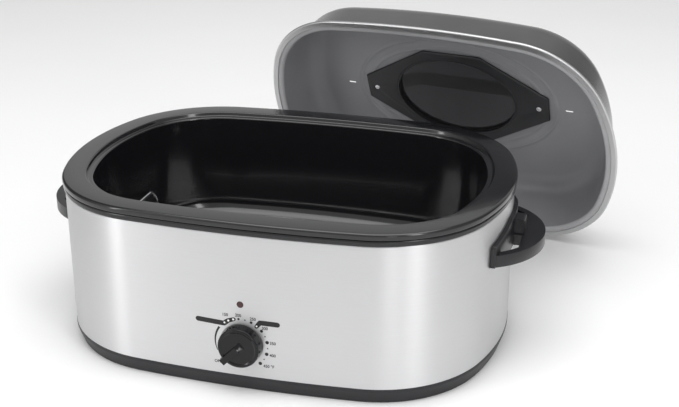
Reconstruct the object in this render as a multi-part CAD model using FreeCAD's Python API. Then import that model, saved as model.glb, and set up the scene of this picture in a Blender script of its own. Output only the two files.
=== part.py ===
import FreeCAD, Part
import math
import os

Vec = FreeCAD.Vector
UP = Vec(0, 0, 1)

# All sizes are in millimetres.  The origin is the middle of the underside, +Z is up,
# +X runs along the length and the dial is on the -Y side.  Rings that follow the body
# are drawn as (out, up): distance outwards from the steel wall, and height.

# Body outline: two long bowed sides, two bowed ends, four round corners.
body_length = 580.0
body_width = 420.0
side_radius = 1620.0
end_radius = 309.0
corner_radius = 150.0

# Clearances.
skin_gap = 0.3          # between curved skins that lie on each other
pin_gap = 0.05          # radial, a shaft or screw in its hole
hole_gap = 0.25         # radial, a plug or neck in a sheet hole
sheet_bite = 2.0        # how far a flat plate runs into the ring round it, before they join

# Base tray.
tray_height = 21.0
tray_inset = 5.5        # how much narrower the tray is where it stands
tray_proud = 0.4
tray_band = 4.0         # upright top part of its side
tray_wall = 2.5
tray_ring = 10.0        # width of the ring it stands on
tray_floor = 2.5
tray_lift = 3.0         # air gap under the floor
tray_lip = 12.0
tray_lip_wall = 2.0
centre_pad_radius = 30.0
vent_length = 44.0
vent_width = 4.0
vent_pitch = 14.0
vents_per_side = 6
vent_start = 60.0

# Rubber feet.
foot_x = 185.0
foot_y = 105.0
foot_radius = 10.0
foot_stem = 4.0
foot_head = 5.5
foot_head_height = 1.5

# Steel housing.
steel = 0.6
housing_top = 206.5
housing_fold = 6.0
fold_radius = 1.5

# Collar under the pan's lip.
collar_height = 8.0
collar_proud = 2.0
collar_gap = 1.8        # shadow line over the steel
collar_gap_depth = 2.3
collar_round = 3.0
collar_seat = 7.0       # width of the top face
collar_step = 4.0       # from the top face down to the well's flange
collar_ledge = 8.0
collar_ledge_thickness = 3.0
collar_skirt = 8.5
collar_skirt_wall = 2.0

# Heating well.
well_sheet = 0.8
well_inset = 30.0       # its outer face, inside the steel wall's outer face
well_bottom = 57.0      # underside
well_corner = 18.0
well_edge_radius = 3.0
well_floor_reach = 62.0

# Heater, blanket, shield, posts.
heater_low = 118.0
heater_high = 168.0
heater_thickness = 2.5
blanket_low = 116.0
blanket_high = 196.0
blanket_thickness = 7.0
shield_height = 30.0
shield_sheet = 0.8
shield_inset = 50.0
shield_rim = 9.0
shield_radius = 3.0
post_x = 130.0
post_y = 75.0
post_radius = 7.0
post_neck = 4.5
screw_shank = 2.0
screw_head = 4.0
screw_head_height = 1.8
screw_reach = 12.0

# Roasting pan.
pan_sheet = 1.0
pan_top = 223.0
pan_proud = 3.0         # the lip stands out over the collar and the steel
lip_round = 3.5
lip_curl = 2.2
lip_foot = 4.3          # width of the lip's underside
flange_width = 27.0
step_drop = 5.5
step_slope = 2.0
step_width = 7.0
pan_floor = 70.0
pan_taper = 8.5
pan_corner = 25.0
pan_floor_reach = 78.0

# Roasting rack.
rack_inset = 84.0
rack_height = 14.0      # wire's middle above the pan's floor
rack_rim_wire = 2.5
rack_bar_wire = 1.75
rack_pitch = 22.0
rack_end_room = 20.0    # from the last bar, at least, to the rim's end
rack_foot_x = 95.0
loop_half_width = 38.0
loop_height = 62.0
loop_lean = 13.0        # outwards, from its feet to its top
loop_bend = 14.0
loop_wire = 2.25

# Thermostat and knob.
dial_height = 64.5
thermostat_width = 44.0
thermostat_depth = 14.0
thermostat_height = 34.0
thermostat_set_back = 9.0   # from the steel's outer face to its front
terminal_width = 6.3
terminal_length = 9.0
terminal_thickness = 0.8
bushing_radius = 4.5
bushing_proud = 3.6
nut_flats = 14.0
nut_height = 2.6
shaft_radius = 3.0
shaft_flat = 1.0
shaft_buried = 6.0
bracket_width = 30.0
bracket_sheet = 1.2
bracket_tab = 18.0
bracket_joggle = 8.0
bracket_top = 112.0
bracket_bend = 2.0
knob_radius = 27.0
knob_depth = 13.0
knob_gap = 1.2
knob_taper = 1.4
knob_round = 2.4
knob_wall = 2.4
knob_dish = 1.2
knob_dish_margin = 3.2
knob_hub = 6.5
knob_skin = 2.6         # left in front of the shaft's end
pointer_reach = 28.0
pointer_tail = 7.5
pointer_slope = 8.0     # length of its sloping inner end
pointer_width = 9.6
pointer_tip_width = 8.0
pointer_height = 3.4
pointer_off_angle = 225.0   # clockwise from the top, as the dial is read

# Indicator lamp.
lamp_height = 117.0
lamp_hole = 4.2
lens_radius = 5.4
lens_flange = 1.0
lens_dome = 2.2
lens_neck = 6.0
lamp_body_radius = 4.6
lamp_body_length = 9.0

# Side handles.
handle_half_width = 88.0
handle_low = 143.0
handle_shelf = 15.5     # height of the grip's outer band
handle_reach = 43.0
handle_plate = 5.0
handle_shoulder = 171.0
handle_crest = 184.0
handle_crest_half = 24.0
handle_crest_round = 30.0
handle_shoulder_round = 4.0
handle_wall = 3.5
handle_web = 3.0
handle_block_half = 11.5
handle_block_reach = 18.0
handle_block_top = 178.0
handle_block_chamfer = 3.0
slot_inner = 15.0
slot_margin = 10.0      # solid band left round the slots' outer side
slot_chord = 16.0       # from the steel at the middle to the grip's straight inner edge
rib_place = 45.0
rib_thickness = 2.5
rib_depth = 9.0
boss_angle = 14.2
boss_radius = 4.5
boss_length = 12.0
boss_height = 149.5

# Cord gland and terminal block.
gland_height = 48.0
gland_turn = 4.5        # degrees round the back's arc, from its middle to the left
gland_bore = 4.5
gland_neck = 7.0
gland_flange = 10.5
gland_outside = 3.0
gland_inside = 3.5
block_length = 40.0
block_depth = 16.0
block_height = 15.0
block_place = 140.0
block_poles = 3
pole_pitch = 12.0
pole_radius = 3.2
pole_depth = 4.0
lead_radius = 1.3
lead_bend = 12.0
lead_spread = 12.0

# Lid, drawn lying flat with its rim at height 0, then stood on its long edge.
lid_inset = 15.0        # from the pan lip's outline to the bead's outer face
bead_width = 9.0
bead_height = 5.0
bead_below = 1.5
bead_round = 2.2
bead_slot_gap = 0.15
lid_sheet = 0.8
lid_flange = 15.5
lid_flange_height = 0.5
lid_flange_bend = 3.5
lid_height = 88.0
lid_draft = 9.0
lid_shoulder = 30.0
lid_panel_reach = 74.0
ridge_length = 162.0
ridge_width = 108.0
ridge_spacing = 17.0
ridge_half = 2.0
ridge_rise = 1.4
ridge_round = 0.9
window_length = 98.0    # half length of the oval hole
window_width = 73.0
gasket_lap = 6.0
gasket_thickness = 1.5
glass_thickness = 3.0
frame_tip = 150.0
frame_tip_half = 21.0
frame_shoulder = 46.0
frame_half_width = 84.0
frame_thickness = 3.5
frame_edge = 1.2
bezel_thickness = 8.5
bezel_lip = 2.0
grip_rise = 26.0
grip_half_width = 12.0
grip_thickness = 7.0
grip_foot = 118.0
grip_flat = 78.0
grip_sink = 2.0         # how deep the grip's feet run into its frame
lid_screw_place = 134.0
lid_screw_head = 4.2
lid_screw_head_height = 2.2
lid_screw_shank = 2.0
lid_screw_length = 9.5
vent_slot_place = 180.0
vent_slot_length = 12.0
vent_slot_width = 2.6
lid_turn = -11.0        # degrees, right end towards the front
lid_lean = 24.0         # degrees, top edge towards the front
lid_along = 138.0       # how far right of the body's middle it stands
lid_behind = 5.0        # level gap between the lid's top edge and the widest part of the body

# Worked-out places.
half_length = body_length / 2
half_width = body_width / 2
floor_top = tray_lift + tray_floor
collar_top = housing_top + collar_height
well_seat = collar_top - collar_step
well_outer = -well_inset
heater_outer = well_outer + skin_gap + heater_thickness
blanket_inner = heater_outer + skin_gap
front_wall = -half_width
knob_back = front_wall - knob_gap
knob_face = knob_back - knob_depth
thermostat_front = front_wall + thermostat_set_back
thermostat_back = thermostat_front + thermostat_depth
flat_height = dial_height + shaft_radius - shaft_flat
shaft_tip = knob_face + knob_dish + knob_skin
rack_up = pan_floor + rack_height
lid_edge = -lid_inset
panel_top = lid_height + lid_sheet


def outline_arcs():
    """Centre, radius, first and last angle of each arc, anticlockwise from the right end."""
    side_y = half_width - side_radius
    end_x = half_length - end_radius
    to_side = side_radius - corner_radius
    to_end = end_radius - corner_radius
    apart = math.hypot(end_x, side_y)
    along = (to_side ** 2 - to_end ** 2 + apart ** 2) / (2 * apart)
    across = math.sqrt(to_side ** 2 - along ** 2)
    ux, uy = end_x / apart, -side_y / apart
    corner_x = along * ux + across * uy
    corner_y = side_y + along * uy - across * ux
    end_angle = math.atan2(corner_y, corner_x - end_x)
    side_angle = math.atan2(corner_y - side_y, corner_x)
    half = math.pi
    return [
        (Vec(end_x, 0, 0), end_radius, -end_angle, end_angle),
        (Vec(corner_x, corner_y, 0), corner_radius, end_angle, side_angle),
        (Vec(0, side_y, 0), side_radius, side_angle, half - side_angle),
        (Vec(-corner_x, corner_y, 0), corner_radius, half - side_angle, half - end_angle),
        (Vec(-end_x, 0, 0), end_radius, half - end_angle, half + end_angle),
        (Vec(-corner_x, -corner_y, 0), corner_radius, half + end_angle, half + side_angle),
        (Vec(0, -side_y, 0), side_radius, half + side_angle, 2 * half - side_angle),
        (Vec(corner_x, -corner_y, 0), corner_radius, 2 * half - side_angle, 2 * half - end_angle),
    ]


ARCS = outline_arcs()


def at_angle(centre, radius, angle, up=0.0):
    return centre + Vec(radius * math.cos(angle), radius * math.sin(angle), up)


def outline_wire(out, up):
    """The body's outline moved outwards by out, at height up."""
    edges = []
    for centre, radius, first, last in ARCS:
        grown = radius + out
        middle = (first + last) / 2
        edges.append(Part.Arc(at_angle(centre, grown, first, up),
                              at_angle(centre, grown, middle, up),
                              at_angle(centre, grown, last, up)).toShape())
    return Part.Wire(edges)


def outline_plate(out, low, high):
    return Part.Face(outline_wire(out, low)).extrude(UP * (high - low))


def rounded_edges(points, place, closed=True):
    """Edges through flat points (a, b, radius), each corner rounded by its radius."""
    flat = [Vec(p[0], p[1], 0) for p in points]
    radii = [p[2] if len(p) > 2 else 0.0 for p in points]
    count = len(flat)
    starts = []
    ends = []
    mids = []
    for i in range(count):
        inner = closed or 0 < i < count - 1
        if radii[i] <= 0 or not inner:
            starts.append(flat[i])
            ends.append(flat[i])
            mids.append(None)
            continue
        back = (flat[i - 1] - flat[i]).normalize()
        ahead = (flat[(i + 1) % count] - flat[i]).normalize()
        half_angle = back.getAngle(ahead) / 2
        reach = radii[i] / math.tan(half_angle)
        bisector = (back + ahead).normalize()
        centre = flat[i] + bisector * (radii[i] / math.sin(half_angle))
        starts.append(flat[i] + back * reach)
        ends.append(flat[i] + ahead * reach)
        mids.append(centre - bisector * radii[i])
    edges = []
    for i in range(count):
        if mids[i] is not None:
            edges.append(Part.Arc(place(starts[i]), place(mids[i]), place(ends[i])).toShape())
        following = (i + 1) % count
        if following == 0 and not closed:
            break
        if ends[i].distanceToPoint(starts[following]) > 1e-6:
            edges.append(Part.LineSegment(place(ends[i]), place(starts[following])).toShape())
    return edges


def ring(points):
    """A ring round the body whose section is the closed outline of (out, up, radius) points."""
    pieces = []
    for centre, radius, first, last in ARCS:
        outwards = Vec(math.cos(first), math.sin(first), 0)

        def place(p):
            return centre + outwards * (radius + p.x) + UP * p.y

        face = Part.Face(Part.Wire(rounded_edges(points, place)))
        pieces.append(face.revolve(centre, UP, math.degrees(last - first)))
    return pieces[0].fuse(pieces[1:]).removeSplitter()


def sheet_section(path, thickness):
    """Closed section of a bent sheet: path is one face, the other lies to its left."""
    count = len(path)
    normals = []
    for a, b in zip(path, path[1:]):
        run = math.hypot(b[0] - a[0], b[1] - a[1])
        normals.append((-(b[1] - a[1]) / run, (b[0] - a[0]) / run))
    other = []
    for i in range(count):
        n0 = normals[max(i - 1, 0)]
        n1 = normals[min(i, count - 2)]
        spread = 1 + n0[0] * n1[0] + n0[1] * n1[1]
        shift = ((n0[0] + n1[0]) / spread * thickness, (n0[1] + n1[1]) / spread * thickness)
        turn = n0[0] * n1[1] - n0[1] * n1[0]
        radius = path[i][2] if len(path[i]) > 2 else 0.0
        if radius > 0:
            radius = radius - thickness if turn > 0 else radius + thickness
        other.append((path[i][0] + shift[0], path[i][1] + shift[1], max(radius, 0.0)))
    return list(path) + other[::-1]


def extruded(points, place, along):
    return Part.Face(Part.Wire(rounded_edges(points, place))).extrude(along)


def flat_plate(points, low, high):
    """A plate of (x, y, radius) points between two heights."""
    return extruded(points, lambda p: Vec(p.x, p.y, low), UP * (high - low))


def cylinder(radius, start, along):
    return Part.makeCylinder(radius, along.Length, start, along)


def oval(half_x, half_y, low, high):
    """An elliptical plate."""
    curve = Part.Ellipse(Vec(0, 0, low), half_x, half_y)
    return Part.Face(Part.Wire(curve.toShape())).extrude(UP * (high - low))


def oval_ring(half_x, half_y, band, low, high):
    """An elliptical ring, from the given half sizes inwards by band."""
    return oval(half_x, half_y, low, high).cut(oval(half_x - band, half_y - band, low, high))


def wire_tube(points, radius, bend):
    """A round wire through the points, straight runs joined by arcs of one bend radius."""
    edges = []
    start = points[0]
    for i in range(1, len(points) - 1):
        back = (points[i - 1] - points[i]).normalize()
        ahead = (points[i + 1] - points[i]).normalize()
        half_angle = back.getAngle(ahead) / 2
        reach = bend / math.tan(half_angle)
        bisector = (back + ahead).normalize()
        centre = points[i] + bisector * (bend / math.sin(half_angle))
        enter = points[i] + back * reach
        leave = points[i] + ahead * reach
        edges.append(Part.LineSegment(start, enter).toShape())
        edges.append(Part.Arc(enter, centre - bisector * bend, leave).toShape())
        start = leave
    edges.append(Part.LineSegment(start, points[-1]).toShape())
    path = Part.Wire(edges)
    section = Part.Wire(Part.makeCircle(radius, points[0], points[1] - points[0]))
    return path.makePipeShell([section], True, False)


def mirrored(shape, normal):
    return shape.mirror(Vec(0, 0, 0), normal)


def four_corners(shape):
    """The same piece in all four quarters of the body, as separate solids."""
    right = [shape, mirrored(shape, Vec(0, 1, 0))]
    return Part.makeCompound(right + [mirrored(piece, Vec(1, 0, 0)) for piece in right])


def make_base_tray():
    """Moulded tray: standing ring, raised vented floor, ledge and lip for the housing."""
    seat = -(steel + skin_gap)
    lip_inner = seat - tray_lip_wall
    foot_inner = -tray_inset - tray_ring
    side = ring([
        (foot_inner, 0),
        (-tray_inset, 0, 1.5),
        (tray_proud, tray_height - tray_band, 3.0),
        (tray_proud, tray_height, 0.6),
        (seat, tray_height),
        (seat, tray_height + tray_lip),
        (lip_inner, tray_height + tray_lip),
        (lip_inner, tray_height - tray_band),
        (-tray_inset - tray_wall, floor_top),
        (foot_inner, floor_top),
    ])
    tray = side.fuse(outline_plate(foot_inner + sheet_bite, tray_lift, floor_top))
    tray = tray.fuse(cylinder(centre_pad_radius, Vec(0, 0, 0), UP * floor_top))
    for side_x in (-1, 1):
        for i in range(vents_per_side):
            x = side_x * (vent_start + i * vent_pitch)
            low = vent_width / 2
            slot = flat_plate([
                (x - low, -vent_length / 2, low * 0.98),
                (x + low, -vent_length / 2, low * 0.98),
                (x + low, vent_length / 2, low * 0.98),
                (x - low, vent_length / 2, low * 0.98),
            ], 0, floor_top)
            tray = tray.cut(slot)
    holes = [cylinder(foot_stem + hole_gap, Vec(foot_x, foot_y, 0), UP * floor_top),
             cylinder(screw_shank + hole_gap, Vec(post_x, post_y, 0), UP * floor_top)]
    for hole in holes:
        tray = tray.cut(four_corners(hole))
    return tray.removeSplitter()


def make_rubber_feet():
    """Four snap-in feet: pad under the floor, stem through it, head above it."""
    foot = cylinder(foot_radius, Vec(foot_x, foot_y, 0), UP * tray_lift)
    foot = foot.fuse(cylinder(foot_stem, Vec(foot_x, foot_y, 0), UP * (floor_top + 0.5)))
    foot = foot.fuse(cylinder(foot_head, Vec(foot_x, foot_y, floor_top), UP * foot_head_height))
    return four_corners(foot.removeSplitter())


def make_base_screws():
    screw = cylinder(screw_head, Vec(post_x, post_y, tray_lift), UP * -screw_head_height)
    screw = screw.fuse(cylinder(screw_shank, Vec(post_x, post_y, tray_lift),
                                UP * (tray_floor + screw_reach)))
    return four_corners(screw.removeSplitter())


def make_support_posts():
    """Stepped posts that carry the shield on their shoulder and the well on their top."""
    low = Vec(post_x, post_y, floor_top)
    post = cylinder(post_radius, low, UP * (shield_height - floor_top))
    post = post.fuse(cylinder(post_neck, low, UP * (well_bottom - floor_top)))
    post = post.cut(cylinder(screw_shank + pin_gap, low, UP * (screw_reach + 2)))
    return four_corners(post.removeSplitter())


def make_heat_shield():
    """Bright plate with a turned-up edge, resting on the posts' shoulders."""
    path = [
        (-shield_inset, shield_height + shield_rim),
        (-shield_inset, shield_height, shield_radius),
        (-shield_inset - shield_rim - sheet_bite, shield_height),
    ]
    edge = ring(sheet_section(path, -shield_sheet))
    plate = outline_plate(-shield_inset - shield_rim, shield_height, shield_height + shield_sheet)
    hole = cylinder(post_neck + hole_gap, Vec(post_x, post_y, shield_height), UP * shield_rim)
    return edge.fuse(plate).cut(four_corners(hole)).removeSplitter()


def shell_cuts():
    """Everything that passes through the steel wall."""
    inwards = Vec(0, 12, 0)
    cuts = [
        cylinder(bushing_radius + hole_gap, Vec(0, front_wall - 4, dial_height), inwards),
        cylinder(lamp_hole + hole_gap, Vec(0, front_wall - 4, lamp_height), inwards),
        around_back(cylinder(gland_neck + hole_gap, Vec(0, half_width - 8, gland_height), inwards)),
    ]
    for end in (0, 180):
        for turn in (-boss_angle, boss_angle):
            hole = cylinder(screw_shank + hole_gap, Vec(half_length - 4, 0, boss_height),
                            Vec(8, 0, 0))
            cuts.append(around_end(hole, turn, end))
    return cuts


def around_end(shape, turn, end=0):
    """Turn a piece about the right end's arc centre, then over to the chosen end."""
    moved = shape.copy()
    moved.rotate(ARCS[0][0], UP, turn)
    moved.rotate(Vec(0, 0, 0), UP, end)
    return moved


def around_back(shape):
    """Turn a piece about the back's arc centre, from its middle to the cord gland's place."""
    moved = shape.copy()
    moved.rotate(ARCS[2][0], UP, gland_turn)
    return moved


def make_housing():
    """Stainless wrap, folded inwards at the top, standing on the tray's ledge."""
    path = [
        (0, tray_height),
        (0, housing_top, fold_radius),
        (-housing_fold, housing_top),
    ]
    shell = ring(sheet_section(path, steel))
    return shell.cut(shell_cuts()[0]).cut(shell_cuts()[1:])


def make_collar():
    """Black ring on the steel's top fold; it carries the well inside and the pan on top."""
    under = housing_top + collar_gap
    inner = -collar_seat - collar_ledge
    ledge_low = well_seat - collar_ledge_thickness
    skirt_outer = -collar_skirt + collar_skirt_wall / 2
    skirt_inner = skirt_outer - collar_skirt_wall
    return ring([
        (collar_proud - collar_gap_depth, housing_top),
        (collar_proud - collar_gap_depth, under),
        (collar_proud, under, 0.6),
        (collar_proud, collar_top, collar_round),
        (-collar_seat, collar_top, 0.5),
        (-collar_seat, well_seat),
        (inner, well_seat),
        (inner, ledge_low),
        (skirt_inner, ledge_low),
        (skirt_inner, housing_top - collar_height),
        (skirt_outer, housing_top - collar_height),
        (skirt_outer, housing_top),
    ])


def make_well():
    """Aluminised steel well, hung by its flange in the collar."""
    path = [
        (-collar_seat - 2 * skin_gap, well_seat),
        (well_outer, well_seat, well_edge_radius - well_sheet),
        (well_outer, well_bottom, well_corner),
        (-well_floor_reach, well_bottom),
    ]
    section = sheet_section(path, -well_sheet)
    plate = outline_plate(-well_floor_reach + sheet_bite, well_bottom, well_bottom + well_sheet)
    return ring(section).fuse(plate).removeSplitter()


def make_band(inner, thickness, low, high):
    return ring([(inner, low), (inner + thickness, low), (inner + thickness, high), (inner, high)])


def make_heater_band():
    return make_band(well_outer + skin_gap, heater_thickness, heater_low, heater_high)


def make_blanket():
    return make_band(blanket_inner, blanket_thickness, blanket_low, blanket_high)


def make_pan():
    """Enamelled pan: curled lip, wide flange, inner step, tapered wall, flat floor."""
    inner = -flange_width - step_slope
    wall_top = inner - step_width
    path = [
        (-lip_foot, collar_top),
        (pan_proud, collar_top, lip_curl),
        (pan_proud, pan_top, lip_round),
        (-flange_width, pan_top, 2.2),
        (inner, pan_top - step_drop, 2.2),
        (wall_top, pan_top - step_drop, 2.4),
        (wall_top - pan_taper, pan_floor, pan_corner),
        (-pan_floor_reach, pan_floor),
    ]
    section = sheet_section(path, pan_sheet)
    plate = outline_plate(-pan_floor_reach + sheet_bite, pan_floor - pan_sheet, pan_floor)
    return ring(section).fuse(plate).removeSplitter()


def oval_wire_loop(out, up, radius):
    """A round wire that follows the body's outline."""
    loop = None
    for centre, arc_radius, first, last in ARCS:
        outwards = Vec(math.cos(first), math.sin(first), 0)
        tangent = Vec(-math.sin(first), math.cos(first), 0)
        middle = centre + outwards * (arc_radius + out) + UP * up
        disc = Part.Face(Part.Wire(Part.makeCircle(radius, middle, tangent)))
        span = disc.revolve(centre, UP, math.degrees(last - first))
        loop = span if loop is None else loop.fuse(span)
    return loop


def half_width_at(x, out):
    """Half the outline's width at x, with the outline moved outwards by out."""
    side_centre, side_r = ARCS[2][0], ARCS[2][1] + out
    corner_centre, corner_r = ARCS[1][0], ARCS[1][1] + out
    if abs(x) < side_r * math.cos(ARCS[2][2]):
        return side_centre.y + math.sqrt(side_r ** 2 - x ** 2)
    return corner_centre.y + math.sqrt(corner_r ** 2 - (abs(x) - corner_centre.x) ** 2)


def half_length_at(y, out):
    """Half the outline's length at y, with the outline moved outwards by out."""
    end_centre, end_r = ARCS[0][0], ARCS[0][1] + out
    corner_centre, corner_r = ARCS[1][0], ARCS[1][1] + out
    if abs(y) < end_r * math.sin(ARCS[0][3]):
        return end_centre.x + math.sqrt(end_r ** 2 - y ** 2)
    return corner_centre.x + math.sqrt(corner_r ** 2 - (abs(y) - corner_centre.y) ** 2)


def make_rack():
    """Welded grid of the wire rack: oval rim and straight cross bars."""
    rack = oval_wire_loop(-rack_inset, rack_up, rack_rim_wire)
    per_side = int((half_length - rack_inset - rack_end_room) / rack_pitch)
    for i in range(-per_side, per_side + 1):
        x = i * rack_pitch
        reach = half_width_at(x, -rack_inset)
        rack = rack.fuse(cylinder(rack_bar_wire, Vec(x, -reach, rack_up), Vec(0, 2 * reach, 0)))
    return rack


def make_rack_feet():
    """Four wire stubs welded under the rim, standing on the pan's floor."""
    place = Vec(rack_foot_x, half_width_at(rack_foot_x, -rack_inset), pan_floor)
    foot = cylinder(rack_rim_wire * 0.9, place, UP * rack_height)
    foot = foot.makeFillet(rack_rim_wire * 0.4,
                           [edge for edge in foot.Edges if edge.BoundBox.ZMax < pan_floor + 0.01])
    return four_corners(foot.cut(oval_wire_loop(-rack_inset, rack_up, rack_rim_wire)))


def make_rack_loops():
    """A bent wire loop welded on the rim at each end, to lift the rack by."""
    rim = oval_wire_loop(-rack_inset, rack_up, rack_rim_wire)
    foot = half_length_at(loop_half_width, -rack_inset)
    top = foot + loop_lean
    loop = wire_tube([
        Vec(foot, -loop_half_width, rack_up),
        Vec(top, -loop_half_width, rack_up + loop_height),
        Vec(top, loop_half_width, rack_up + loop_height),
        Vec(foot, loop_half_width, rack_up),
    ], loop_wire, loop_bend).cut(rim)
    return Part.makeCompound([loop, mirrored(loop, Vec(1, 0, 0))])


def make_thermostat():
    """Moulded body with its threaded bushing and two blade terminals underneath."""
    half = thermostat_width / 2
    low = dial_height - thermostat_height / 2
    body = Part.makeBox(thermostat_width, thermostat_depth, thermostat_height,
                        Vec(-half, thermostat_front, low))
    body = body.makeFillet(2.0, [edge for edge in body.Edges if upright(edge)])
    bushing_front = front_wall - bushing_proud
    bushing = cylinder(bushing_radius, Vec(0, thermostat_front + 1, dial_height),
                       Vec(0, bushing_front - thermostat_front - 1, 0))
    body = body.fuse(bushing)
    for side_x in (-1, 1):
        x = side_x * lead_spread - terminal_width / 2
        blade = Part.makeBox(terminal_width, terminal_thickness, terminal_length + 1,
                             Vec(x, thermostat_front + thermostat_depth / 2, low - terminal_length))
        body = body.fuse(blade)
    bore_end = thermostat_front + shaft_buried + 1
    bore = cylinder(shaft_radius + pin_gap, Vec(0, bushing_front, dial_height),
                    Vec(0, bore_end - bushing_front, 0))
    return body.cut(bore).removeSplitter()


def upright(edge):
    first, last = edge.Vertexes[0].Point, edge.Vertexes[-1].Point
    return abs(first.z - last.z) > 1 and abs(first.x - last.x) < 1e-6


def make_thermostat_bracket():
    """Joggled strap from the well's wall down behind the thermostat."""
    on_well = -half_width + well_inset - skin_gap
    behind = thermostat_back
    path = [
        (on_well, bracket_top),
        (on_well, bracket_top - bracket_tab, bracket_bend),
        (behind + bracket_sheet, bracket_top - bracket_tab - bracket_joggle, bracket_bend),
        (behind + bracket_sheet, dial_height - thermostat_height / 2),
    ]
    section = sheet_section(path, -bracket_sheet)
    return extruded(section, lambda p: Vec(-bracket_width / 2, p.x, p.y), Vec(bracket_width, 0, 0))


def make_thermostat_nut():
    """Thin hexagon nut on the bushing, outside the steel."""
    across = nut_flats / math.cos(math.pi / 6) / 2
    seat = front_wall - skin_gap
    corners = [(across * math.cos(math.radians(60 * i)), across * math.sin(math.radians(60 * i)))
               for i in range(6)]
    nut = extruded(corners, lambda p: Vec(p.x, seat, p.y + dial_height), Vec(0, -nut_height, 0))
    return nut.cut(cylinder(bushing_radius + pin_gap, Vec(0, seat + 1, dial_height),
                            Vec(0, -nut_height - 2, 0)))


def make_shaft():
    """D-shaped thermostat shaft, from inside the bushing into the knob's hub."""
    inner = thermostat_front + shaft_buried
    shaft = cylinder(shaft_radius, Vec(0, inner, dial_height), Vec(0, shaft_tip - inner, 0))
    flat_end = front_wall - bushing_proud - 0.5
    flat = Part.makeBox(2 * shaft_radius, flat_end - shaft_tip, 2 * shaft_radius,
                        Vec(-shaft_radius, shaft_tip, flat_height))
    return shaft.cut(flat)


def knob_turned(points):
    """Turn (radius, depth from the back) points about the dial's axis."""
    wire = Part.Wire(rounded_edges(points, lambda p: Vec(p.x, knob_back - p.y, dial_height)))
    return Part.Face(wire).revolve(Vec(0, 0, dial_height), Vec(0, 1, 0), 360)


def pointer_frame(p, depth):
    """A point given along and across the pointer, at a depth in front of the knob's back."""
    angle = math.radians(pointer_off_angle)
    along = Vec(math.sin(angle), 0, math.cos(angle))
    across = Vec(math.cos(angle), 0, -math.sin(angle))
    return Vec(0, knob_back - depth, dial_height) + along * p.x + across * p.y


def make_knob():
    """Moulded knob: skirt, dished face, hollow back, D hub and a grip bar to the edge."""
    front = knob_radius - knob_taper
    skin = knob_depth - knob_dish - knob_wall
    knob = knob_turned([
        (0, skin),
        (knob_radius - knob_wall - knob_taper, skin),
        (knob_radius - knob_wall, 0),
        (knob_radius, 0, 0.8),
        (front, knob_depth, knob_round),
        (front - knob_dish_margin, knob_depth, 1.0),
        (front - knob_dish_margin - 2.0, knob_depth - knob_dish, 1.2),
        (0, knob_depth - knob_dish),
    ])
    hub_back = bushing_proud - knob_gap + 0.6
    hub = cylinder(knob_hub, Vec(0, knob_back - hub_back, dial_height),
                   Vec(0, hub_back - knob_depth + knob_dish, 0))
    half_root = pointer_width / 2
    half_tip = pointer_tip_width / 2
    bar = extruded([
        (-pointer_tail, -half_root, 1.5),
        (pointer_reach, -half_root, 1.5),
        (pointer_reach, half_root, 1.5),
        (-pointer_tail, half_root, 1.5),
    ], lambda p: pointer_frame(p, skin + 0.5), Vec(0, skin + 0.5 - knob_depth - pointer_height, 0))
    crest = pointer_height + knob_dish
    slant = extruded([
        (-pointer_tail - pointer_slope, 0),
        (-pointer_tail, 0),
        (-pointer_tail + pointer_slope, crest + 0.1),
        (-pointer_tail - pointer_slope, crest + 0.1),
    ], lambda p: pointer_side(p, half_root + 1), pointer_across() * -(2 * half_root + 2))
    bar = bar.cut(slant)
    for side in (-1, 1):
        draft = extruded([
            (half_tip * side, crest + 1),
            ((half_root + 1) * side, crest + 1),
            ((half_root + 1) * side, 0),
            (half_root * side, 0),
            (half_tip * side, crest),
        ], lambda p: pointer_end(p, -pointer_tail - 1),
            pointer_along() * (pointer_reach + pointer_tail + 2))
        bar = bar.cut(draft)
    knob = knob.fuse([hub, bar])
    bore_end = shaft_tip - pin_gap
    bore = cylinder(shaft_radius + pin_gap, Vec(0, knob_back, dial_height),
                    Vec(0, bore_end - knob_back, 0))
    key = Part.makeBox(2 * shaft_radius + 1, knob_back - hub_back - bore_end, 2 * shaft_radius,
                       Vec(-shaft_radius - 0.5, bore_end, flat_height + pin_gap))
    return knob.cut(bore.cut(key)).removeSplitter()


def pointer_along():
    return pointer_frame(Vec(1, 0, 0), 0) - pointer_frame(Vec(0, 0, 0), 0)


def pointer_across():
    return pointer_frame(Vec(0, 1, 0), 0) - pointer_frame(Vec(0, 0, 0), 0)


def pointer_side(p, across):
    """A point given along the pointer and above the dish, at a place across it."""
    return pointer_frame(Vec(p.x, across, 0), knob_depth - knob_dish + p.y)


def pointer_end(p, along):
    """A point given across the pointer and above the dish, at a place along it."""
    return pointer_frame(Vec(along, p.x, 0), knob_depth - knob_dish + p.y)


def make_lamp_lens():
    """Red lens: low dome and flange outside the steel, neck through it."""
    seat = front_wall - skin_gap
    dome_radius = (lens_radius ** 2 + lens_dome ** 2) / (2 * lens_dome)
    proud = lens_flange + lens_dome
    cap = cylinder(lens_radius, Vec(0, seat, lamp_height), Vec(0, -proud, 0))
    ball = Part.makeSphere(dome_radius, Vec(0, seat - proud + dome_radius, lamp_height))
    neck = cylinder(lamp_hole, Vec(0, seat, lamp_height), Vec(0, lens_neck, 0))
    return cap.common(ball).fuse(neck).removeSplitter()


def make_lamp_body():
    """Neon lamp in its push-on clip, behind the lens."""
    start = front_wall - skin_gap + lens_neck
    body = cylinder(lamp_body_radius, Vec(0, start, lamp_height), Vec(0, lamp_body_length, 0))
    clip_back = front_wall + steel + skin_gap
    clip = cylinder(lens_radius + 1, Vec(0, clip_back, lamp_height), Vec(0, start - clip_back, 0))
    clip = clip.cut(cylinder(lamp_hole + pin_gap, Vec(0, clip_back, lamp_height),
                             Vec(0, start - clip_back, 0)))
    return body.fuse(clip)


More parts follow.
